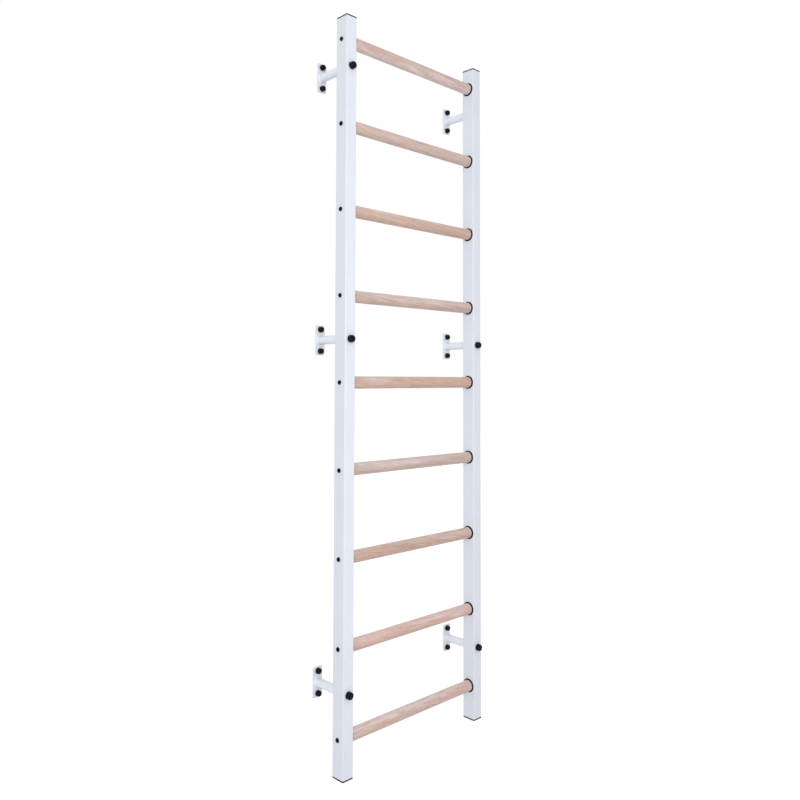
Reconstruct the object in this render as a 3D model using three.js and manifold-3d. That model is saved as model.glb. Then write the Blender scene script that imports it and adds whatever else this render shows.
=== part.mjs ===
import * as THREE from 'three';
import { mergeVertices } from 'three/addons/utils/BufferGeometryUtils.js';
import Module from 'manifold-3d';

// Swedish wall bars: two steel box-tube uprights, nine beech rungs and six wall brackets.
// Millimetres, +Z up. X runs along the rungs, the front faces -Y, the wall is the plane Y = 0
// and the uprights end at Z = 0.

// Overall
const overallHeight = 2300;
const overallWidth = 630;
const wallToTubeAxis = 125;
const seatGap = 0.3;

// How far a cutter reaches past the faces that it cuts
const cutPast = 1;

// Uprights: rectangular tube, the long side of its section pointing at the wall
const tubeWidth = 40;
const tubeDepth = 50;
const tubeWall = 2;
const tubeCorner = 3;

// Rungs: turned beech, driven into bushes and held by one screw through each outer wall
const rungCount = 9;
const rungDiameter = 38;
const lowestRungHeight = 115;
const topRungDrop = 73;
const pilotDiameter = 5;
const pilotDepth = 45;
const screwHoleDiameter = 6.5;

// Bushes: flanged plastic sleeves in the inner walls
const bushWall = 1;
const bushFlangeLip = 2.8;
const bushFlangeThickness = 3.5;
const bushFlangeTaper = 3.6;
const bushSleeveLength = 6;

// End caps: a flange over the tube's end and a finned plug inside it
const capFlange = 4;
const capPlugDepth = 16;
const capPlugWall = 2;
const capFinThickness = 1.5;
const capFinReach = 1.2;
const capFinCount = 2;
const capEdgeBevel = 0.6;

// Wall brackets: a plate with two bolt holes and a round arm with a threaded end
const plateHeight = 94;
const plateWidth = 36;
const plateThickness = 4;
const plateCorner = 6;
const wallBoltInset = 13;
const armDiameter = 27;
const armChamfer = 1.5;
const armWeld = 3;
const armBoreRunOut = 6;
const topBracketDrop = 85;

// Bolts with domed heads that taper from a band at the seat to a round shoulder.
// Bracket bolts go from the front through the tube into the arm, wall bolts go through the plate.
const bracketBolt = {
  shank: 10, seat: 23.4, band: 2, dome: 22.2, headHeight: 14.5, shoulder: 4.8,
};
const wallBolt = {
  shank: 8, seat: 18.8, band: 1.6, dome: 17.6, headHeight: 12, shoulder: 4,
};
const boltEngagement = 28;

// Facets round rungs, round bolts and arms and round screw holes, and steps along half a corner arc
const roundFacets = 18;
const smallFacets = 12;
const screwFacets = 8;
const arcSteps = 2;
const hiddenArcSteps = 1;

const tubeLength = overallHeight - 2 * (capFlange + seatGap);
const uprightX = (overallWidth - tubeWidth) / 2;
const rungPitch = (overallHeight - lowestRungHeight - topRungDrop) / (rungCount - 1);
const rungLength = overallWidth - 2 * (tubeWall + seatGap);
const bushBore = rungDiameter + 2 * seatGap;
const bushSleeve = bushBore + 2 * bushWall;
const rungHole = bushSleeve + 2 * seatGap;
const bushFlange = rungHole + 2 * bushFlangeLip;
const bracketBoltHole = bracketBolt.shank + 2 * seatGap;
const wallBoltHole = wallBolt.shank + 2 * seatGap;
const wallBoltSpacing = plateHeight - 2 * wallBoltInset;
const armLength = wallToTubeAxis - tubeDepth / 2 - seatGap;
const armBoreDepth = boltEngagement + armBoreRunOut;

const rungHeights = Array.from({ length: rungCount }, (_, i) => lowestRungHeight + i * rungPitch);
const topRung = rungHeights[rungCount - 1];
const middleGap = Math.floor(rungCount / 2);
const bracketHeights = {
  bottom: (rungHeights[0] + rungHeights[1]) / 2,
  middle: (rungHeights[middleGap] + rungHeights[middleGap + 1]) / 2,
  top: topRung - topBracketDrop,
};
const sides = { left: -1, right: 1 };

function finish(color, roughness, metalness) {
  return () => new THREE.MeshStandardMaterial({ color, roughness, metalness });
}
const whitePaint = finish(0xe4e8f0, 0.45, 0);
const beech = finish(0xd4beb0, 0.55, 0);
const blackPlastic = finish(0x18191f, 0.5, 0);
const blackSteel = finish(0x18191f, 0.35, 0.6);

const wasm = await Module();
wasm.setup();

// A closed three.js geometry as a solid that can be joined and cut.
function solid(geometry) {
  const bare = geometry.clone();
  bare.deleteAttribute('normal');
  bare.deleteAttribute('uv');
  const merged = mergeVertices(bare);
  return new wasm.Manifold(new wasm.Mesh({
    numProp: 3,
    vertProperties: new Float32Array(merged.attributes.position.array),
    triVerts: new Uint32Array(merged.index.array),
  }));
}

// The finished solid back as a three.js geometry.
function geometryOf(body) {
  const mesh = body.getMesh();
  const geometry = new THREE.BufferGeometry();
  geometry.setAttribute('position', new THREE.BufferAttribute(new Float32Array(mesh.vertProperties), 3));
  geometry.setIndex(new THREE.BufferAttribute(new Uint32Array(mesh.triVerts), 1));
  geometry.computeVertexNormals();
  return geometry;
}

// Turned about the Y axis from [radius, y] points that run upwards along the outside.
function turned(points, facets = roundFacets) {
  return new THREE.LatheGeometry(points.map(([radius, y]) => new THREE.Vector2(radius, y)), facets);
}

// A plain round pin about the Y axis from one y to another, as a cutter for holes.
function pin(diameter, from, to, facets = roundFacets) {
  return turned([[0, from], [diameter / 2, from], [diameter / 2, to], [0, to]], facets);
}

// Rectangle with round corners, centred on the origin.
function roundedRectangle(width, depth, corner, Outline = THREE.Shape) {
  const x = width / 2 - corner;
  const y = depth / 2 - corner;
  const outline = new Outline();
  outline.moveTo(-x, -depth / 2);
  outline.absarc(x, -y, corner, -Math.PI / 2, 0);
  outline.absarc(x, y, corner, 0, Math.PI / 2);
  outline.absarc(-x, y, corner, Math.PI / 2, Math.PI);
  outline.absarc(-x, -y, corner, Math.PI, 1.5 * Math.PI);
  return outline;
}

// The tube's section, shrunk all round by an inset.
function tubeSection(inset, Outline) {
  return roundedRectangle(
    tubeWidth - 2 * inset,
    tubeDepth - 2 * inset,
    Math.max(tubeCorner - inset, tubeCorner / 4),
    Outline,
  );
}

// A section pushed up from Z = 0, with its rims broken by a bevel if one is given.
function extruded(shape, height, { bevel = 0, curveSegments = arcSteps } = {}) {
  return new THREE.ExtrudeGeometry(shape, {
    depth: height - 2 * bevel,
    curveSegments,
    bevelEnabled: bevel > 0,
    bevelSize: bevel,
    bevelThickness: bevel,
    bevelOffset: -bevel,
    bevelSegments: 1,
  }).translate(0, 0, bevel);
}

// Tube along Z from its lower end, with the holes for rungs, rung screws and bracket bolts.
function uprightGeometry(side) {
  const section = tubeSection(0);
  section.holes.push(tubeSection(tubeWall, THREE.Path));
  const cutters = [];
  const lowerEnd = capFlange + seatGap;
  const throughWall = [tubeWidth / 2 - tubeWall - cutPast, tubeWidth / 2 + cutPast];
  for (const height of rungHeights) {
    const z = height - lowerEnd;
    const rungCut = pin(rungHole, ...throughWall);
    cutters.push(rungCut.rotateZ(side * Math.PI / 2).translate(0, 0, z));
    const screwCut = pin(screwHoleDiameter, ...throughWall, screwFacets);
    cutters.push(screwCut.rotateZ(-side * Math.PI / 2).translate(0, 0, z));
  }
  for (const height of Object.values(bracketHeights)) {
    const boltCut = pin(bracketBoltHole, -tubeDepth / 2 - cutPast, tubeDepth / 2 + cutPast, smallFacets);
    cutters.push(boltCut.translate(0, 0, height - lowerEnd));
  }
  let body = solid(extruded(section, tubeLength));
  for (const cutter of cutters) {
    body = body.subtract(solid(cutter));
  }
  return geometryOf(body);
}

// Turned rung along X with a pilot hole bored in each end for its screw.
function rungGeometry() {
  const half = rungLength / 2;
  let body = solid(pin(rungDiameter, -half, half));
  for (const end of [-1, 1]) {
    const pilot = pin(pilotDiameter, half - pilotDepth, half + cutPast, screwFacets);
    body = body.subtract(solid(pilot.rotateX(end > 0 ? 0 : Math.PI)));
  }
  return geometryOf(body).rotateZ(-Math.PI / 2);
}

// Bush along X: its flange lies on the wall's face and its sleeve reaches back through the hole.
function bushGeometry() {
  const bore = bushBore / 2;
  const sleeve = bushSleeve / 2;
  const flange = bushFlange / 2;
  const profile = [
    [bore, -bushSleeveLength],
    [sleeve, -bushSleeveLength],
    [sleeve, seatGap],
    [flange, seatGap],
    [flange - bushFlangeTaper, seatGap + bushFlangeThickness],
    [bore, seatGap + bushFlangeThickness],
    [bore, -bushSleeveLength],
  ];
  return turned(profile).rotateZ(-Math.PI / 2);
}

// Cap standing on Z = 0: flange, hollow plug and the fins that grip the tube.
function endCapGeometry() {
  const finInset = tubeWall + seatGap;
  const plugInset = finInset + capFinReach;
  const hidden = { curveSegments: hiddenArcSteps };
  const plugTop = capFlange + capPlugDepth;
  let body = solid(extruded(tubeSection(0), capFlange, { bevel: capEdgeBevel }));
  const plugFoot = capFlange / 2;
  const plug = extruded(tubeSection(plugInset), plugTop - plugFoot, hidden);
  body = body.add(solid(plug.translate(0, 0, plugFoot)));
  const finStep = capPlugDepth / (capFinCount + 1);
  for (let fin = 1; fin <= capFinCount; fin += 1) {
    const finFoot = capFlange + fin * finStep - capFinThickness / 2;
    const plate = extruded(tubeSection(finInset), capFinThickness, hidden);
    body = body.add(solid(plate.translate(0, 0, finFoot)));
  }
  const pocket = extruded(tubeSection(plugInset + capPlugWall), capPlugDepth + cutPast, hidden);
  return geometryOf(body.subtract(solid(pocket.translate(0, 0, capFlange))));
}

// Bracket with its back on the wall: plate across XZ, arm towards -Y, welded all round at its foot.
function bracketGeometry() {
  const radius = armDiameter / 2;
  const bore = bracketBoltHole / 2;
  const arm = turned([
    [0, plateThickness / 2],
    [radius + armWeld, plateThickness / 2],
    [radius + armWeld, plateThickness],
    [radius + armWeld * (1 - Math.SQRT1_2), plateThickness + armWeld * (1 - Math.SQRT1_2)],
    [radius, plateThickness + armWeld],
    [radius, armLength - armChamfer],
    [radius - armChamfer, armLength],
    [bore, armLength],
    [bore, armLength - armBoreDepth],
    [0, armLength - armBoreDepth],
  ], smallFacets).rotateX(Math.PI);
  let body = solid(extruded(roundedRectangle(plateWidth, plateHeight, plateCorner), plateThickness)
    .rotateX(Math.PI / 2));
  body = body.add(solid(arm));
  for (const end of [-1, 1]) {
    const hole = pin(wallBoltHole, -plateThickness - cutPast, cutPast, smallFacets);
    body = body.subtract(solid(hole.translate(0, 0, end * wallBoltSpacing / 2)));
  }
  return geometryOf(body);
}

// Bolt seated on Y = 0, its domed head towards -Y and its shank towards +Y.
function boltGeometry({ shank, seat, band, dome, headHeight, shoulder }, shankLength) {
  const profile = [
    [0, -shankLength],
    [shank / 2, -shankLength],
    [shank / 2, 0],
    [seat / 2, 0],
    [seat / 2, band],
  ];
  const shoulderSteps = 2;
  for (let step = 0; step <= shoulderSteps; step += 1) {
    const angle = step / shoulderSteps * Math.PI / 2;
    profile.push([
      dome / 2 - shoulder * (1 - Math.cos(angle)),
      headHeight - shoulder * (1 - Math.sin(angle)),
    ]);
  }
  profile.push([0, headHeight]);
  return geometryOf(solid(turned(profile, smallFacets))).rotateX(Math.PI);
}

// Headless stud with its front end level with the tube's face.
function studGeometry(shankLength) {
  return pin(bracketBolt.shank, 0, shankLength, smallFacets);
}

function piece(name, geometry, material, position, rotation = [0, 0, 0]) {
  const mesh = new THREE.Mesh(geometry, material);
  mesh.name = name;
  mesh.position.set(...position);
  mesh.rotation.set(...rotation);
  return mesh;
}

// One upright with its two end caps, the bushes in its inner wall and its three brackets with bolts.
function uprightGroup(sideName, side) {
  const group = new THREE.Group();
  group.position.set(side * uprightX, -wallToTubeAxis, 0);
  const turnToCentre = [0, 0, side > 0 ? Math.PI : 0];
  const innerFace = -side * tubeWidth / 2;
  group.add(piece(`upright_${sideName}`, uprightGeometry(side), whitePaint(), [0, 0, capFlange + seatGap]));
  group.add(piece(`end_cap_${sideName}_bottom`, endCapGeometry(), blackPlastic(), [0, 0, 0]));
  group.add(piece(
    `end_cap_${sideName}_top`,
    endCapGeometry(),
    blackPlastic(),
    [0, 0, overallHeight],
    [Math.PI, 0, 0],
  ));
  rungHeights.forEach((height, i) => {
    const name = `bush_${sideName}_${rungCount - i}`;
    group.add(piece(name, bushGeometry(), blackPlastic(), [innerFace, 0, height], turnToCentre));
  });
  return group;
}

// One bracket with its two wall bolts and the bolt that holds the upright.
function bracketGroup(sideName, side, level, height) {
  const group = new THREE.Group();
  group.position.set(side * uprightX, 0, height);
  const name = `${sideName}_${level}`;
  group.add(piece(`bracket_${name}`, bracketGeometry(), whitePaint(), [0, 0, 0]));
  for (const [end, sign] of [['upper', 1], ['lower', -1]]) {
    group.add(piece(
      `wall_bolt_${name}_${end}`,
      boltGeometry(wallBolt, plateThickness),
      blackSteel(),
      [0, -plateThickness - seatGap, sign * wallBoltSpacing / 2],
    ));
  }
  const tubeFront = -wallToTubeAxis - tubeDepth / 2;
  const gripLength = tubeDepth + seatGap + boltEngagement;
  const flush = sideName === 'right' && level === 'top';
  group.add(flush
    ? piece(`bracket_bolt_${name}`, studGeometry(gripLength), whitePaint(), [0, tubeFront, 0])
    : piece(
      `bracket_bolt_${name}`,
      boltGeometry(bracketBolt, gripLength + seatGap),
      blackSteel(),
      [0, tubeFront - seatGap, 0],
    ));
  return group;
}

const wallBars = new THREE.Group();
for (const [sideName, side] of Object.entries(sides)) {
  wallBars.add(uprightGroup(sideName, side));
  for (const [level, height] of Object.entries(bracketHeights)) {
    wallBars.add(bracketGroup(sideName, side, level, height));
  }
}
const rungs = new THREE.Group();
rungs.position.set(0, -wallToTubeAxis, 0);
rungHeights.forEach((height, i) => {
  rungs.add(piece(`rung_${rungCount - i}`, rungGeometry(), beech(), [0, 0, height]));
});
wallBars.add(rungs);

export default wallBars;
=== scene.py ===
import math
from collections import namedtuple

import bmesh
import bpy
from mathutils import Matrix, Vector


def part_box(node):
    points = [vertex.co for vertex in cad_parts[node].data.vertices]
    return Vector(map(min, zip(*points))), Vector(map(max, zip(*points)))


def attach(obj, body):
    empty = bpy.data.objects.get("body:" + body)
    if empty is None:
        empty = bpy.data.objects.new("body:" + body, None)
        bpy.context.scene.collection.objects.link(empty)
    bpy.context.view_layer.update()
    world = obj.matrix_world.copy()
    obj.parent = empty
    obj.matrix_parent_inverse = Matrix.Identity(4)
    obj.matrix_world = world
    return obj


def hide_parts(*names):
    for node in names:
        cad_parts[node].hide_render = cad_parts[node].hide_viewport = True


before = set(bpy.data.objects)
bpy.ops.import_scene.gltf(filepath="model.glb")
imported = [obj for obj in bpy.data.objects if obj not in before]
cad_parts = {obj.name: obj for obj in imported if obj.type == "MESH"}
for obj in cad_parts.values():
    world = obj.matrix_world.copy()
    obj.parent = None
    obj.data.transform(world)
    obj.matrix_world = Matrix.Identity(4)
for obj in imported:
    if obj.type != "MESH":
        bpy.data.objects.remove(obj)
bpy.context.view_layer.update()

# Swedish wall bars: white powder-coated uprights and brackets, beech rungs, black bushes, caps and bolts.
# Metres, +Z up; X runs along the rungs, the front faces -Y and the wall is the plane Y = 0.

MM = 0.001
SIDES = {"left": -1, "right": 1}
LEVELS = ("bottom", "middle", "top")
ENDS = ("bottom", "top")
RUNGS = range(1, 10)

# Camera, as measured on the photograph
CAMERA_POSITION = (-1.8185, -1.9382, 1.1779)
CAMERA_YAW = math.radians(45.03)
CAMERA_PITCH = math.radians(2.60)
CAMERA_ROLL = math.radians(0.10)
CAMERA_LENS_MM = 34.96
CAMERA_SENSOR_MM = 36.0
CAMERA_SHIFT = (-0.0159, -0.0687)

# Sizes of details that the frame's boxes don't give
TUBE_WALL = 2.0 * MM
TUBE_CORNER = 3.0 * MM
SEAT_GAP = 0.3 * MM
RUNG_HOLE = 41.2 * MM
BOLT_HOLE = 10.6 * MM
SCREW_HOLE = 6.5 * MM
PILOT_DIAMETER = 5.0 * MM
PILOT_DEPTH = 45.0 * MM
RUNG_EDGE = 1.2 * MM
BUSH_BORE = 38.6 * MM
BUSH_SLEEVE = 40.6 * MM
BUSH_FLANGE_THICKNESS = 3.5 * MM
BUSH_FLANGE_TAPER = 3.6 * MM
BUSH_EDGE = 0.2 * MM
BUSH_RIM_EDGE = 0.3 * MM
CAP_FLANGE = 4.0 * MM
CAP_PLUG_WALL = 2.0 * MM
CAP_FIN_THICKNESS = 1.5 * MM
CAP_FIN_REACH = 1.2 * MM
CAP_FINS = 2
CAP_OUTER_EDGE = 0.5 * MM
CAP_SEAT_EDGE = 0.2 * MM
PLATE_THICKNESS = 4.0 * MM
PLATE_CORNER = 6.0 * MM
PLATE_EDGE = 0.8 * MM
WALL_BOLT_HOLE = 8.6 * MM
ARM_DIAMETER = 27.0 * MM
ARM_BORE = 10.6 * MM
ARM_BORE_DEPTH = 34.0 * MM
ARM_CHAMFER = 1.5 * MM
WELD = 3.0 * MM
WELD_RIPPLES = 26
WELD_RIPPLE_HEIGHT = 0.22 * MM
WELD_SINK = 0.05 * MM
BRACKET_BOLT = {
    "shank": 10.0 * MM, "seat": 23.4 * MM, "band": 2.0 * MM,
    "dome": 22.2 * MM, "head": 14.5 * MM, "shoulder": 4.8 * MM,
}
WALL_BOLT = {
    "shank": 8.0 * MM, "seat": 18.8 * MM, "band": 1.6 * MM,
    "dome": 17.6 * MM, "head": 12.0 * MM, "shoulder": 4.0 * MM,
}
DOME_RISE = 0.8 * MM
DOME_SETBACK = 0.5 * MM
BAND_SLOPE = 0.3 * MM
BAND_EDGE = 0.4 * MM
SEAT_EDGE = 0.3 * MM
SHANK_CHAMFER = 1.0 * MM
STUD_EDGE = 0.4 * MM
SCREW_HEAD = 14.6 * MM
SCREW_HEAD_HEIGHT = 4.2 * MM
SCREW_SHANK = 4.8 * MM
SCREW_LENGTH = 42.0 * MM
SCREW_SOCKET = 5.0 * MM
SCREW_SOCKET_DEPTH = 2.2 * MM
SCREW_SOCKET_RIM = 0.4 * MM
SCREW_SOCKET_CHAMFER = 0.2 * MM
SCREW_SEAT_EDGE = 0.2 * MM
SCREW_BAND = 0.8 * MM
SCREW_BAND_EDGE = 0.5 * MM
SCREW_DOME_EDGE = 1.2 * MM
SCREW_DOME_WIDTH_SHARE = 0.75
SCREW_DOME_HEIGHT_SHARE = 0.85
FLOOR_GAP = 0.5 * MM

# Facets round a full turn, and steps along an arc
FINE = 96
ROUND = 72
SMALL = 32
CORNER_STEPS = 6
FILLET_STEPS = 4
SHARP_EDGE = math.radians(35)

# Each rung's own look: its tone, from 0 for grey to 1 for tan, its depth, from 0 for light to 1 for dark,
# how much pink is in it, the side of it that is warmer and darker, in degrees up or down from the room,
# turned to where the rung lies in shade and so partly painted shade, and the place of its piece of grain
Look = namedtuple("Look", "tone depth pink warm_side place")
RUNG_LOOKS = {
    1: Look(0.1, 0.0, 0.3, 75, 11.8),
    2: Look(0.0, 0.0, 0.0, -30, 20.2),
    3: Look(0.85, 0.5, 0.0, -40, 39.1),
    4: Look(0.3, 0.5, 0.0, -60, 36.1),
    5: Look(0.95, 0.6, 0.0, -30, 30.2),
    6: Look(0.0, 0.65, 0.0, -70, 56.8),
    7: Look(1.0, 1.0, 0.0, -60, 3.9),
    8: Look(0.85, 0.0, 1.0, -50, 45.7),
    9: Look(0.2, 0.0, 0.35, -65, 21.4),
}

# Beech: its pale wood and its darker warm wood, each as a grey and a tan, the warm wood lying on each rung's
# shaded side as partly painted shade; what full depth and full pink leave of a colour; how firmly the warm
# zone keeps to its side, how far it sways, and where it begins and is full; the growth rings; the slope of
# the grain;
# and how far off and how turned the pith lies from one rung to the next
PALE_WOOD = ((0.83, 0.717, 0.687), (0.84, 0.692, 0.625))
WARM_SHADED_WOOD = ((0.748, 0.594, 0.543), (0.779, 0.564, 0.482))
DARKEST = 0.87
PINKEST = (1.0, 0.955, 1.0)
WARM_PULL = 1.5
WARM_SWAY = 6.0
WARM_EDGE = (2.5, 3.5)
RING_SCALE = 105.0
RING_STRETCH = (0.02, 1, 1)
RING_SWAY = 9.0 * MM
GRAIN_SLOPE = math.radians(-6)
PITH_DISTANCE = 70.0 * MM
PITH_TURN = math.radians(137.5)

# The white of the powder coat on the tubes; the brackets' white, the same coat made lighter as painted light
# that lifts the shaded wall plates and arms; and how far the whites drift
TUBE_WHITE = (0.765, 0.798, 0.88)
BRACKET_WHITE_PAINTED_LIGHT = (0.835, 0.868, 0.95)
COAT_DRIFT = 0.025

# Sockets of a node that mixes colours
MIX_FIRST, MIX_SECOND, MIX_RESULT = 6, 7, 2


# Meshes

def circle(radius, count=ROUND):
    """Points round a circle."""
    step = math.tau / count
    return [(radius * math.cos(i * step), radius * math.sin(i * step)) for i in range(count)]


def rounded_rectangle(width, depth, corner):
    """Points round a rectangle with arcs at its corners."""
    points = []
    for quarter, (sx, sy) in enumerate(((1, 1), (-1, 1), (-1, -1), (1, -1))):
        for step in range(CORNER_STEPS + 1):
            angle = (quarter + step / CORNER_STEPS) * math.pi / 2
            points.append((
                sx * (width / 2 - corner) + corner * math.cos(angle),
                sy * (depth / 2 - corner) + corner * math.sin(angle),
            ))
    return points


def hexagon(flats, limit):
    """Points round a hexagon whose corners are turned down to a radius."""
    points = []
    for i in range(ROUND):
        angle = i * math.tau / ROUND
        from_flat = angle % (math.pi / 3) - math.pi / 6
        radius = min(flats / 2 / math.cos(from_flat), limit)
        points.append((radius * math.cos(angle), radius * math.sin(angle)))
    return points


def eased(corners):
    """A profile of (radius, height, fillet) corners with each fillet drawn as an arc."""
    points = []
    for i, (radius, height, fillet) in enumerate(corners):
        here = Vector((radius, height))
        if fillet == 0:
            points.append((radius, height))
            continue
        before = (Vector(corners[i - 1][:2]) - here).normalized()
        after = (Vector(corners[(i + 1) % len(corners)][:2]) - here).normalized()
        half = before.angle(after) / 2
        reach = fillet / math.tan(half)
        middle = here + (before + after).normalized() * fillet / math.sin(half)
        start = here + before * reach - middle
        turn = -start.angle_signed(here + after * reach - middle)
        for step in range(FILLET_STEPS + 1):
            angle = turn * step / FILLET_STEPS
            cos, sin = math.cos(angle), math.sin(angle)
            points.append((
                middle.x + start.x * cos - start.y * sin,
                middle.y + start.x * sin + start.y * cos,
            ))
    return points


def loft(sections, closed=False):
    """A mesh through rings of points, each as (points, height), with its ends filled or joined."""
    mesh = bmesh.new()
    rings = [[mesh.verts.new((x, y, height)) for x, y in points] for points, height in sections]
    pairs = list(zip(rings, rings[1:]))
    if closed:
        pairs.append((rings[-1], rings[0]))
    for lower, upper in pairs:
        for i in range(len(lower)):
            mesh.faces.new((lower[i - 1], lower[i], upper[i], upper[i - 1]))
    if not closed:
        mesh.faces.new(rings[0])
        mesh.faces.new(rings[-1])
    bmesh.ops.recalc_face_normals(mesh, faces=mesh.faces)
    return mesh


def turned(profile, count=ROUND, closed=False):
    """A mesh turned about Z from (radius, height) points."""
    return loft([(circle(radius, count), height) for radius, height in profile], closed)


def along(axis, origin, reverse=False):
    """The matrix that lays a mesh made about Z along an axis, from an origin."""
    turns = {
        "X": Matrix.Rotation(math.pi / 2, 4, "Y"),
        "Y": Matrix.Rotation(-math.pi / 2, 4, "X"),
        "Z": Matrix.Identity(4),
    }
    place = Matrix.Translation(origin)
    if reverse:
        place = place @ Matrix.Rotation(math.pi, 4, "Y" if axis == "Z" else "Z")
    return place @ turns[axis]


def add_object(name, mesh, matrix=Matrix.Identity(4)):
    """A mesh laid in place and linked as an object."""
    mesh.transform(matrix)
    data = bpy.data.meshes.new(name)
    mesh.to_mesh(data)
    mesh.free()
    made = bpy.data.objects.new(name, data)
    bpy.context.scene.collection.objects.link(made)
    return made


def merged(meshes):
    """Several meshes, each as (mesh, matrix), in one."""
    whole = bmesh.new()
    for mesh, matrix in meshes:
        mesh.transform(matrix)
        part = bpy.data.meshes.new("part")
        mesh.to_mesh(part)
        mesh.free()
        whole.from_mesh(part)
        bpy.data.meshes.remove(part)
    return whole


def combine(target, mesh, operation):
    """Joins a mesh to an object or cuts it from the object."""
    tool = add_object("tool", mesh)
    step = target.modifiers.new("step", "BOOLEAN")
    step.operation = operation
    step.solver = "EXACT"
    step.object = tool
    depsgraph = bpy.context.evaluated_depsgraph_get()
    result = bpy.data.meshes.new_from_object(target.evaluated_get(depsgraph))
    target.modifiers.clear()
    spent = target.data
    target.data = result
    for old in (spent, tool.data):
        bpy.data.meshes.remove(old)
    result.name = target.name


def dress(piece, material, node=None):
    """Shades a piece, gives it its material and body, and hides the node that it stands for."""
    data = piece.data
    data.polygons.foreach_set("use_smooth", [True] * len(data.polygons))
    data.set_sharp_from_angle(angle=SHARP_EDGE)
    normals = piece.modifiers.new("flat_faces", "WEIGHTED_NORMAL")
    normals.keep_sharp = True
    data.materials.clear()
    data.materials.append(material)
    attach(piece, "root")
    if node:
        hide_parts(node)


def middle_of(node):
    """The middle of a node's box."""
    low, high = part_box(node)
    return (low + high) / 2


# Materials

class Surface:
    """A node material under construction."""

    def __init__(self, name):
        self.material = bpy.data.materials.new(name)
        self.material.use_nodes = True
        self.tree = self.material.node_tree
        self.shader = self.tree.nodes["Principled BSDF"]
        self.place = self.tree.nodes.new("ShaderNodeTexCoord").outputs["Object"]

    def feed(self, socket, value):
        """Links a socket to another, or sets it to a constant."""
        if isinstance(value, bpy.types.NodeSocket):
            self.tree.links.new(value, socket)
        else:
            socket.default_value = value

    def add(self, kind, inputs, output=0, **settings):
        """Adds a node, feeds its inputs and gives back one of its outputs."""
        node = self.tree.nodes.new(kind)
        for key, value in settings.items():
            setattr(node, key, value)
        for key, value in inputs.items():
            self.feed(node.inputs[key], value)
        return node.outputs[output]

    def stretched(self, scale, shift=(0, 0, 0), place=None):
        """Coordinates that are scaled on each axis and shifted."""
        inputs = {"Vector": place or self.place, "Scale": scale, "Location": shift}
        return self.add("ShaderNodeMapping", inputs)

    def noise(self, vector, scale=1.0, detail=3.0, roughness=0.5):
        inputs = {"Vector": vector, "Scale": scale, "Detail": detail, "Roughness": roughness}
        return self.add("ShaderNodeTexNoise", inputs)

    def span(self, value, low, high, to_low=0.0, to_high=1.0):
        """A value mapped from one range to another."""
        inputs = {"Value": value, "From Min": low, "From Max": high, "To Min": to_low, "To Max": to_high}
        return self.add("ShaderNodeMapRange", inputs)

    def mix(self, factor, first, second, blend="MIX"):
        inputs = {"Factor": factor, MIX_FIRST: first, MIX_SECOND: second}
        return self.add("ShaderNodeMix", inputs, output=MIX_RESULT, data_type="RGBA", blend_type=blend)

    def stain(self, factor, colour, tint):
        """A colour multiplied by a tint, by a factor."""
        return self.mix(factor, colour, tint, blend="MULTIPLY")

    def bump(self, height, distance):
        normal = self.add("ShaderNodeBump", {"Height": height, "Distance": distance, "Strength": 0.5})
        self.feed(self.shader.inputs["Normal"], normal)

    def finish(self, **sockets):
        """Feeds the shader's own sockets, named with _ for a space, and gives back the material."""
        for name, value in sockets.items():
            self.feed(self.shader.inputs[name.replace("_", " ")], value)
        return self.material


def powder_coat(name, white):
    """Satin powder coat in a white: a fine orange peel, and a faint drift of tone and gloss."""
    coat = Surface(name)
    peel = coat.noise(coat.place, scale=700, detail=2)
    drift = coat.span(coat.noise(coat.place, scale=9), 0.3, 0.7)
    coat.bump(peel, 0.06 * MM)
    return coat.finish(
        Base_Color=coat.mix(drift, (*white, 1), (*(level + COAT_DRIFT for level in white), 1)),
        Roughness=coat.span(drift, 0, 1, 0.32, 0.40),
        Specular_IOR_Level=0.45,
    )


def wood_colour(look, wood):
    """A rung's own shade of a wood that runs from grey to tan, as RGBA."""
    shade = []
    for grey, tan, pinkest in zip(*wood, PINKEST):
        base = grey + (tan - grey) * look.tone
        shade.append(base * (1 - look.depth * (1 - DARKEST)) * (1 - look.pink * (1 - pinkest)))
    return (*shade, 1)


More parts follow.
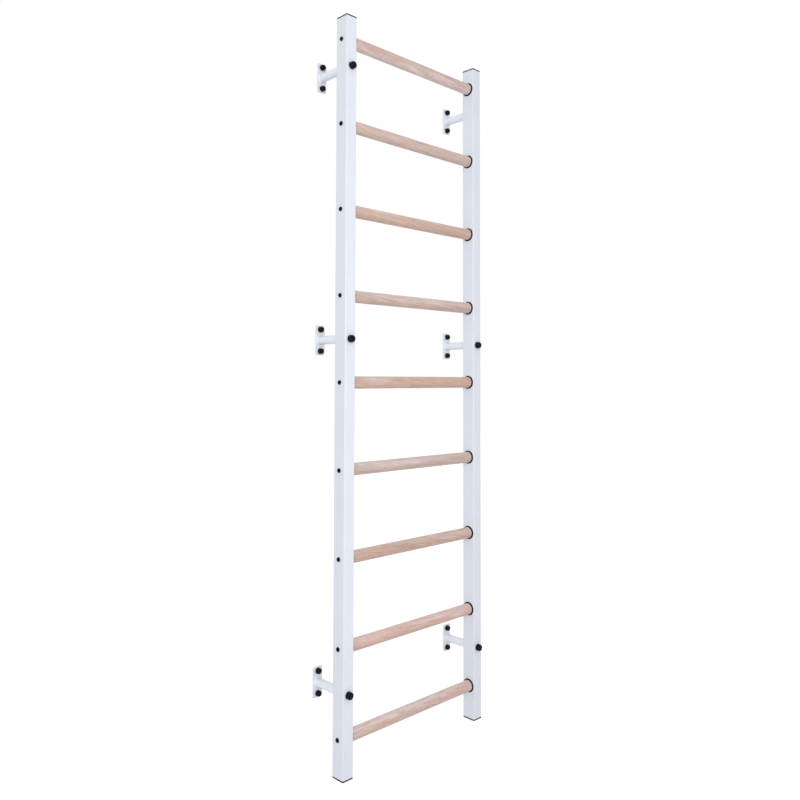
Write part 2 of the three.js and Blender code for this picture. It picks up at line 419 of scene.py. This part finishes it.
def beech(name, radius, look, pith):
    """Lacquered beech: darker warm zones on the shaded side, partly painted shade, growth lines, sloping
    streaks and fibres, and short flecks.
    """
    wood = Surface(name)
    drift = (look.place, 0, 0)
    grain = wood.add(
        "ShaderNodeVectorRotate", {"Vector": wood.place, "Angle": GRAIN_SLOPE}, rotation_type="Y_AXIS",
    )
    sway = wood.noise(wood.stretched((4.5, 16, 16), drift))
    # The darker warm zone is pulled to the rung's shaded side: partly painted shade
    lean = math.radians(look.warm_side)
    pull = WARM_PULL / radius
    side = wood.add(
        "ShaderNodeVectorMath", {0: wood.place, 1: (0, -pull * math.cos(lean), pull * math.sin(lean))},
        output="Value", operation="DOT_PRODUCT",
    )
    warm_shaded_zone = wood.add("ShaderNodeMath", {0: sway, 1: WARM_SWAY, 2: side}, operation="MULTIPLY_ADD")
    bent = wood.add(
        "ShaderNodeVectorMath",
        {0: wood.stretched(RING_STRETCH, (0, *pith), grain), 1: wood.span(sway, 0, 1, 0, RING_SWAY)},
        operation="ADD",
    )
    growth = wood.add(
        "ShaderNodeTexWave",
        {"Vector": bent, "Scale": RING_SCALE, "Distortion": 0.6, "Detail": 2.0, "Detail Scale": 0.4},
        output="Fac", wave_type="RINGS", rings_direction="X", wave_profile="SAW",
    )
    mottle = wood.noise(wood.stretched((26, 150, 150), drift, grain), detail=4, roughness=0.6)
    streak = wood.noise(wood.stretched((6, 170, 170), drift, grain), detail=4, roughness=0.6)
    fibre = wood.noise(wood.stretched((14, 800, 800), drift, grain), roughness=0.65)
    fleck = wood.add("ShaderNodeTexVoronoi", {"Vector": wood.stretched((100, 700, 700)), "Scale": 1.0})
    # The warm colour is darker wood and partly painted shade on the rung's shaded side
    pale, warm = wood_colour(look, PALE_WOOD), wood_colour(look, WARM_SHADED_WOOD)
    body = wood.mix(wood.span(warm_shaded_zone, *WARM_EDGE), pale, warm)
    mottled = wood.stain(wood.span(mottle, 0.36, 0.64), body, (0.90, 0.875, 0.86, 1))
    streaked = wood.stain(wood.span(streak, 0.38, 0.66), mottled, (0.84, 0.79, 0.755, 1))
    lined = wood.stain(wood.span(growth, 0.55, 1.0), streaked, (0.94, 0.92, 0.90, 1))
    fibred = wood.stain(wood.span(fibre, 0.40, 0.75), lined, (0.89, 0.855, 0.835, 1))
    flecked = wood.stain(wood.span(fleck, 0, 0.22, 0.5, 0), fibred, (0.62, 0.52, 0.46, 1))
    wood.bump(fibre, 0.05 * MM)
    return wood.finish(
        Base_Color=flecked,
        Roughness=wood.span(fibre, 0.3, 0.7, 0.42, 0.54),
        Specular_IOR_Level=0.25,
        Coat_Weight=0.06,
        Coat_Roughness=0.3,
    )


def black_plastic():
    """Matt moulded plastic with a fine eroded texture."""
    plastic = Surface("black_plastic")
    grain = plastic.noise(plastic.place, scale=1800)
    drift = plastic.noise(plastic.place, scale=60, detail=2)
    plastic.bump(grain, 0.05 * MM)
    return plastic.finish(
        Base_Color=plastic.mix(drift, (0.002, 0.002, 0.003, 1), (0.004, 0.004, 0.006, 1)),
        Roughness=plastic.span(drift, 0.3, 0.7, 0.42, 0.55),
        Specular_IOR_Level=0.05,
    )


def black_steel():
    """Blue-black coated steel: a tight satin finish with slight handling marks."""
    steel = Surface("black_steel")
    marks = steel.noise(steel.place, scale=420, detail=5, roughness=0.7)
    grain = steel.noise(steel.place, scale=2600, detail=2)
    worn = steel.span(marks, 0.45, 0.75)
    steel.bump(grain, 0.03 * MM)
    return steel.finish(
        Base_Color=steel.mix(worn, (0.0005, 0.001, 0.008, 1), (0.002, 0.003, 0.012, 1)),
        Roughness=steel.span(marks, 0.3, 0.75, 0.12, 0.24),
        Specular_IOR_Level=0.13,
    )


# Pieces

def upright(side_name, side, material):
    """The hollow tube with its rung, screw and bolt holes."""
    node = f"upright_{side_name}"
    low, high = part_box(node)
    centre = (low + high) / 2
    width, depth = high.x - low.x, high.y - low.y
    outer = rounded_rectangle(width, depth, TUBE_CORNER)
    inner = rounded_rectangle(width - 2 * TUBE_WALL, depth - 2 * TUBE_WALL, TUBE_CORNER - TUBE_WALL)
    tube = loft([(outer, low.z), (outer, high.z), (inner, high.z), (inner, low.z)], closed=True)
    piece = add_object(f"tube_{side_name}", tube, Matrix.Translation((centre.x, centre.y, 0)))
    through = (-2 * TUBE_WALL, TUBE_WALL)
    cuts = []
    for number in RUNGS:
        height = middle_of(f"rung_{number}").z
        inner_face = (centre.x - side * width / 2, centre.y, height)
        outer_face = (centre.x + side * width / 2, centre.y, height)
        rung_cut = turned([(RUNG_HOLE / 2, t) for t in through])
        cuts.append((rung_cut, along("X", inner_face, reverse=side > 0)))
        screw_cut = turned([(SCREW_HOLE / 2, t) for t in through], SMALL)
        cuts.append((screw_cut, along("X", outer_face, reverse=side < 0)))
    for level in LEVELS:
        height = middle_of(f"bracket_{side_name}_{level}").z
        bolt_cut = turned([(BOLT_HOLE / 2, t) for t in (-depth, depth)], SMALL)
        cuts.append((bolt_cut, along("Y", (centre.x, centre.y, height))))
    combine(piece, merged(cuts), "DIFFERENCE")
    dress(piece, material, node)


def end_cap(side_name, end, material):
    """A flange with eased edges and a hollow finned plug, as one loft of the tube's section."""
    node = f"end_cap_{side_name}_{end}"
    low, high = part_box(node)
    width, depth, height = high - low
    fin_inset = TUBE_WALL + SEAT_GAP
    plug_inset = fin_inset + CAP_FIN_REACH
    profile = eased([
        (plug_inset, 0, 0), (0, 0, CAP_OUTER_EDGE),
        (0, CAP_FLANGE, CAP_SEAT_EDGE), (plug_inset, CAP_FLANGE, 0),
    ])
    fin_step = (height - CAP_FLANGE) / (CAP_FINS + 1)
    taper = CAP_FIN_THICKNESS / 4
    for fin in range(1, CAP_FINS + 1):
        middle = CAP_FLANGE + fin * fin_step
        half = CAP_FIN_THICKNESS / 2
        profile += [(plug_inset, middle - half), (fin_inset, middle - half + taper)]
        profile += [(fin_inset, middle + half - taper), (plug_inset, middle + half)]
    hollow = plug_inset + CAP_PLUG_WALL
    profile += [(plug_inset, height), (hollow, height), (hollow, CAP_FLANGE)]
    sections = []
    for inset, at in profile:
        corner = max(TUBE_CORNER - inset, TUBE_CORNER / 4)
        sections.append((rounded_rectangle(width - 2 * inset, depth - 2 * inset, corner), at))
    centre = (low + high) / 2
    outside = (centre.x, centre.y, low.z if end == "bottom" else high.z)
    piece = add_object(f"cap_{side_name}_{end}", loft(sections), along("Z", outside, reverse=end == "top"))
    dress(piece, material, node)


def rung(number):
    """A turned beech rung with broken edges and a pilot hole in each end."""
    node = f"rung_{number}"
    low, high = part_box(node)
    radius, half = (high.z - low.z) / 2, (high.x - low.x) / 2
    pilot = PILOT_DIAMETER / 2
    end = eased([
        (pilot, half - PILOT_DEPTH, 0), (pilot, half, 0), (radius, half, RUNG_EDGE), (radius, 0, 0),
    ])[:-1]
    profile = [(r, -t) for r, t in end] + [(r, t) for r, t in reversed(end)]
    piece = add_object(f"beech_{node}", turned(profile, FINE), along("X", (0, 0, 0)))
    piece.location = (low + high) / 2
    turn = number * PITH_TURN
    pith = (PITH_DISTANCE * math.cos(turn), PITH_DISTANCE * math.sin(turn))
    material = beech(f"beech_{number}", radius, RUNG_LOOKS[number], pith)
    dress(piece, material, node)


def bush(side_name, side, number, material):
    """A sleeve with a tapered flange, its edges eased."""
    node = f"bush_{side_name}_{number}"
    low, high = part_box(node)
    centre = (low + high) / 2
    bore, sleeve, flange = BUSH_BORE / 2, BUSH_SLEEVE / 2, (high.z - low.z) / 2
    length = high.x - low.x
    seat = length - BUSH_FLANGE_THICKNESS
    profile = eased([
        (bore, 0, 0), (sleeve, 0, 0), (sleeve, seat, 0),
        (flange, seat, BUSH_EDGE), (flange - BUSH_FLANGE_TAPER, length, BUSH_RIM_EDGE),
        (bore, length, BUSH_EDGE),
    ])
    start = (low.x if side < 0 else high.x, centre.y, centre.z)
    ring = turned(profile, FINE, closed=True)
    piece = add_object(f"ring_{side_name}_{number}", ring, along("X", start, reverse=side > 0))
    dress(piece, material, node)


def weld_ring(radius, share):
    """One ring of the weld between plate and arm, rippled round its middle."""
    angle = share * math.pi / 2
    points = []
    for i in range(FINE):
        turn = i * math.tau / FINE
        ripple = WELD_RIPPLE_HEIGHT * math.sin(2 * angle) * math.sin(WELD_RIPPLES * turn)
        out = radius + WELD * (1 - math.sin(angle)) + ripple
        points.append((out * math.cos(turn), out * math.sin(turn)))
    return points, PLATE_THICKNESS - WELD_SINK + WELD * (1 - math.cos(angle))


def bracket(side_name, level, material):
    """The wall plate, and the round arm on its rippled weld, bored for the bolt."""
    node = f"bracket_{side_name}_{level}"
    low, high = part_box(node)
    centre = (low + high) / 2
    width, length, height = high - low
    to_room = along("Y", (centre.x, high.y, centre.z), reverse=True)
    rim = eased([
        (PLATE_CORNER / 2, 0, 0), (0, 0, PLATE_EDGE),
        (0, PLATE_THICKNESS, PLATE_EDGE), (PLATE_CORNER / 2, PLATE_THICKNESS, 0),
    ])
    plate = loft([
        (rounded_rectangle(width - 2 * inset, height - 2 * inset, PLATE_CORNER - inset), at)
        for inset, at in rim
    ])
    piece = add_object(f"arm_and_plate_{side_name}_{level}", plate, to_room)
    radius = ARM_DIAMETER / 2
    bore = ARM_BORE / 2
    sections = [(circle(radius + WELD, FINE), PLATE_THICKNESS / 2)]
    sections += [weld_ring(radius, step / CORNER_STEPS) for step in range(CORNER_STEPS + 1)]
    tip = eased([
        (radius, length / 2, 0), (radius, length, ARM_CHAMFER),
        (bore, length, ARM_CHAMFER / 2), (bore, length - ARM_BORE_DEPTH, 0),
    ])
    sections += [(circle(r, FINE), t) for r, t in tip]
    combine(piece, merged([(loft(sections), to_room)]), "UNION")
    holes = []
    for end in ("upper", "lower"):
        bolt = middle_of(f"wall_bolt_{side_name}_{level}_{end}")
        hole = turned([(WALL_BOLT_HOLE / 2, t) for t in (-PLATE_THICKNESS, 2 * PLATE_THICKNESS)], SMALL)
        holes.append((hole, along("Y", (bolt.x, high.y, bolt.z), reverse=True)))
    combine(piece, merged(holes), "DIFFERENCE")
    dress(piece, material, node)


def domed_bolt(name, node, sizes, material):
    """A bolt along Y with its domed head towards the room."""
    low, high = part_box(node)
    centre = (low + high) / 2
    shank, seat, dome = sizes["shank"] / 2, sizes["seat"] / 2, sizes["dome"] / 2
    top = high.y - low.y
    foot = top - sizes["head"]
    band = foot + sizes["band"]
    flat = dome - sizes["shoulder"]
    profile = eased([
        (shank - SHANK_CHAMFER, 0, 0), (shank, SHANK_CHAMFER, 0), (shank, foot, 0),
        (seat, foot, SEAT_EDGE), (seat, band, BAND_EDGE), (seat - DOME_SETBACK, band + BAND_SLOPE, 0),
        (dome, top - DOME_RISE, sizes["shoulder"]), (flat / 2, top - DOME_RISE / 4, 0), (flat / 8, top, 0),
    ])
    piece = add_object(name, turned(profile), along("Y", (centre.x, high.y, centre.z), reverse=True))
    dress(piece, material, node)


def flush_stud(node, material):
    """A painted stud whose front end lies level with the tube's face."""
    low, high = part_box(node)
    centre = (low + high) / 2
    radius, length = (high.x - low.x) / 2, high.y - low.y
    profile = eased([
        (radius - SHANK_CHAMFER, 0, 0), (radius, SHANK_CHAMFER, 0),
        (radius, length, STUD_EDGE), (radius / 2, length, 0),
    ])
    piece = add_object(
        "flush_stud_right_top", turned(profile), along("Y", (centre.x, high.y, centre.z), reverse=True),
    )
    dress(piece, material, node)


def rung_screw(side_name, side, number, material):
    """A button-headed screw with a hexagon socket, through the outer wall into the rung's pilot hole."""
    tube_low, tube_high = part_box(f"upright_{side_name}")
    outer_face = tube_low.x if side < 0 else tube_high.x
    centre = middle_of(f"rung_{number}")
    shank, head = SCREW_SHANK / 2, SCREW_HEAD / 2
    socket = SCREW_SOCKET / math.sqrt(3)
    dome = (SCREW_DOME_WIDTH_SHARE * head, SCREW_DOME_HEIGHT_SHARE * SCREW_HEAD_HEIGHT, SCREW_DOME_EDGE)
    stem = eased([
        (shank / 4, -SCREW_LENGTH, 0), (shank, -SCREW_LENGTH + 2 * SCREW_SHANK, 0), (shank, 0, 0),
        (head, 0, SCREW_SEAT_EDGE), (head, SCREW_BAND, SCREW_BAND_EDGE), dome,
        (socket + SCREW_SOCKET_RIM, SCREW_HEAD_HEIGHT, 0),
    ])
    sections = [(circle(r), t) for r, t in stem]
    mouth, floor = SCREW_HEAD_HEIGHT - SCREW_SOCKET_CHAMFER, SCREW_HEAD_HEIGHT - SCREW_SOCKET_DEPTH
    sections += [(hexagon(SCREW_SOCKET, socket), t) for t in (mouth, floor)]
    place = along("X", (outer_face, centre.y, centre.z), reverse=side < 0)
    piece = add_object(f"rung_screw_{side_name}_{number}", loft(sections), place)
    dress(piece, material)


white = powder_coat("white_powder_coat", TUBE_WHITE)
# The brackets wear a lighter copy of the tube white: painted light on the shaded wall plates and arms
bracket_white_painted_light = powder_coat("bracket_coat_painted_light", BRACKET_WHITE_PAINTED_LIGHT)
plastic = black_plastic()
steel = black_steel()
for side_name, side in SIDES.items():
    upright(side_name, side, white)
    for end in ENDS:
        end_cap(side_name, end, plastic)
    for number in RUNGS:
        bush(side_name, side, number, plastic)
        rung_screw(side_name, side, number, steel)
    for level in LEVELS:
        bracket(side_name, level, bracket_white_painted_light)
        for end in ("upper", "lower"):
            name = f"{side_name}_{level}_{end}"
            domed_bolt(f"domed_{name}", f"wall_bolt_{name}", WALL_BOLT, steel)
        name = f"{side_name}_{level}"
        if name == "right_top":
            flush_stud(f"bracket_bolt_{name}", white)
        else:
            domed_bolt(f"domed_{name}", f"bracket_bolt_{name}", BRACKET_BOLT, steel)
for number in RUNGS:
    rung(number)


# Studio

def seen_rays(tree):
    """1 for what the camera sees, straight, in gloss or through glass, and 0 for the light on the object."""
    rays = tree.nodes.new("ShaderNodeLightPath")
    seen = rays.outputs["Is Camera Ray"]
    for kind in ("Is Glossy Ray", "Is Transmission Ray"):
        either = tree.nodes.new("ShaderNodeMath")
        either.operation = "MAXIMUM"
        tree.links.new(seen, either.inputs[0])
        tree.links.new(rays.outputs[kind], either.inputs[1])
        seen = either.outputs[0]
    return seen


def studio_world(ambient):
    """An even sky, dimmer as light on the object than where it is seen, which is white."""
    world = bpy.data.worlds.new("studio")
    bpy.context.scene.world = world
    world.use_nodes = True
    tree = world.node_tree
    sky = tree.nodes["Background"]
    sky.inputs["Color"].default_value = (1, 1, 1, 1)
    level = tree.nodes.new("ShaderNodeMapRange")
    level.inputs["To Min"].default_value = ambient
    level.inputs["To Max"].default_value = 1.0
    tree.links.new(seen_rays(tree), level.inputs["Value"])
    tree.links.new(level.outputs["Result"], sky.inputs["Strength"])


def studio_floor(size, glow):
    """A pale floor just under the feet, lifted to white where it is seen."""
    corners = [(x * size, y * size, -FLOOR_GAP) for x, y in ((-1, -1), (1, -1), (1, 1), (-1, 1))]
    data = bpy.data.meshes.new("floor")
    data.from_pydata(corners, [], [(0, 1, 2, 3)])
    floor = bpy.data.objects.new("floor", data)
    bpy.context.scene.collection.objects.link(floor)
    pale = Surface("pale_floor")
    speckle = pale.noise(pale.place, scale=40)
    data.materials.append(pale.finish(
        Base_Color=pale.mix(speckle, (0.74, 0.74, 0.74, 1), (0.76, 0.76, 0.76, 1)),
        Roughness=0.9,
        Specular_IOR_Level=0.1,
        Emission_Color=(1, 1, 1, 1),
        Emission_Strength=pale.span(seen_rays(pale.tree), 0, 1, 0, glow),
    ))


def softbox(name, place, target, width, height, power):
    """An area lamp that faces a point and isn't seen itself."""
    data = bpy.data.lights.new(name, "AREA")
    data.shape = "RECTANGLE"
    data.size, data.size_y = width, height
    data.energy = power
    lamp = bpy.data.objects.new(name, data)
    lamp.visible_camera = False
    lamp.location = place
    lamp.rotation_euler = (Vector(target) - Vector(place)).to_track_quat("-Z", "Y").to_euler()
    bpy.context.scene.collection.objects.link(lamp)


def photograph_camera():
    """The camera at the photograph's place, with its tilt and framing."""
    data = bpy.data.cameras.new("camera")
    data.lens = CAMERA_LENS_MM
    data.sensor_width = CAMERA_SENSOR_MM
    data.shift_x, data.shift_y = CAMERA_SHIFT
    camera = bpy.data.objects.new("camera", data)
    camera.matrix_world = (
        Matrix.Translation(CAMERA_POSITION)
        @ Matrix.Rotation(-CAMERA_YAW, 4, "Z")
        @ Matrix.Rotation(math.pi / 2 + CAMERA_PITCH, 4, "X")
        @ Matrix.Rotation(CAMERA_ROLL, 4, "Z")
    )
    bpy.context.scene.collection.objects.link(camera)
    bpy.context.scene.camera = camera


studio_world(ambient=0.73)
studio_floor(size=12, glow=0.5)
softbox("key", (-3.2, -2.5, 1.9), target=(0, 0, 1.6), width=2.0, height=2.0, power=43)
softbox("near", (-0.35, -1.1, 1.3), target=(-0.2, -0.1, 1.25), width=0.3, height=2.4, power=3.1)
photograph_camera()
bpy.context.scene.view_settings.view_transform = "Standard"
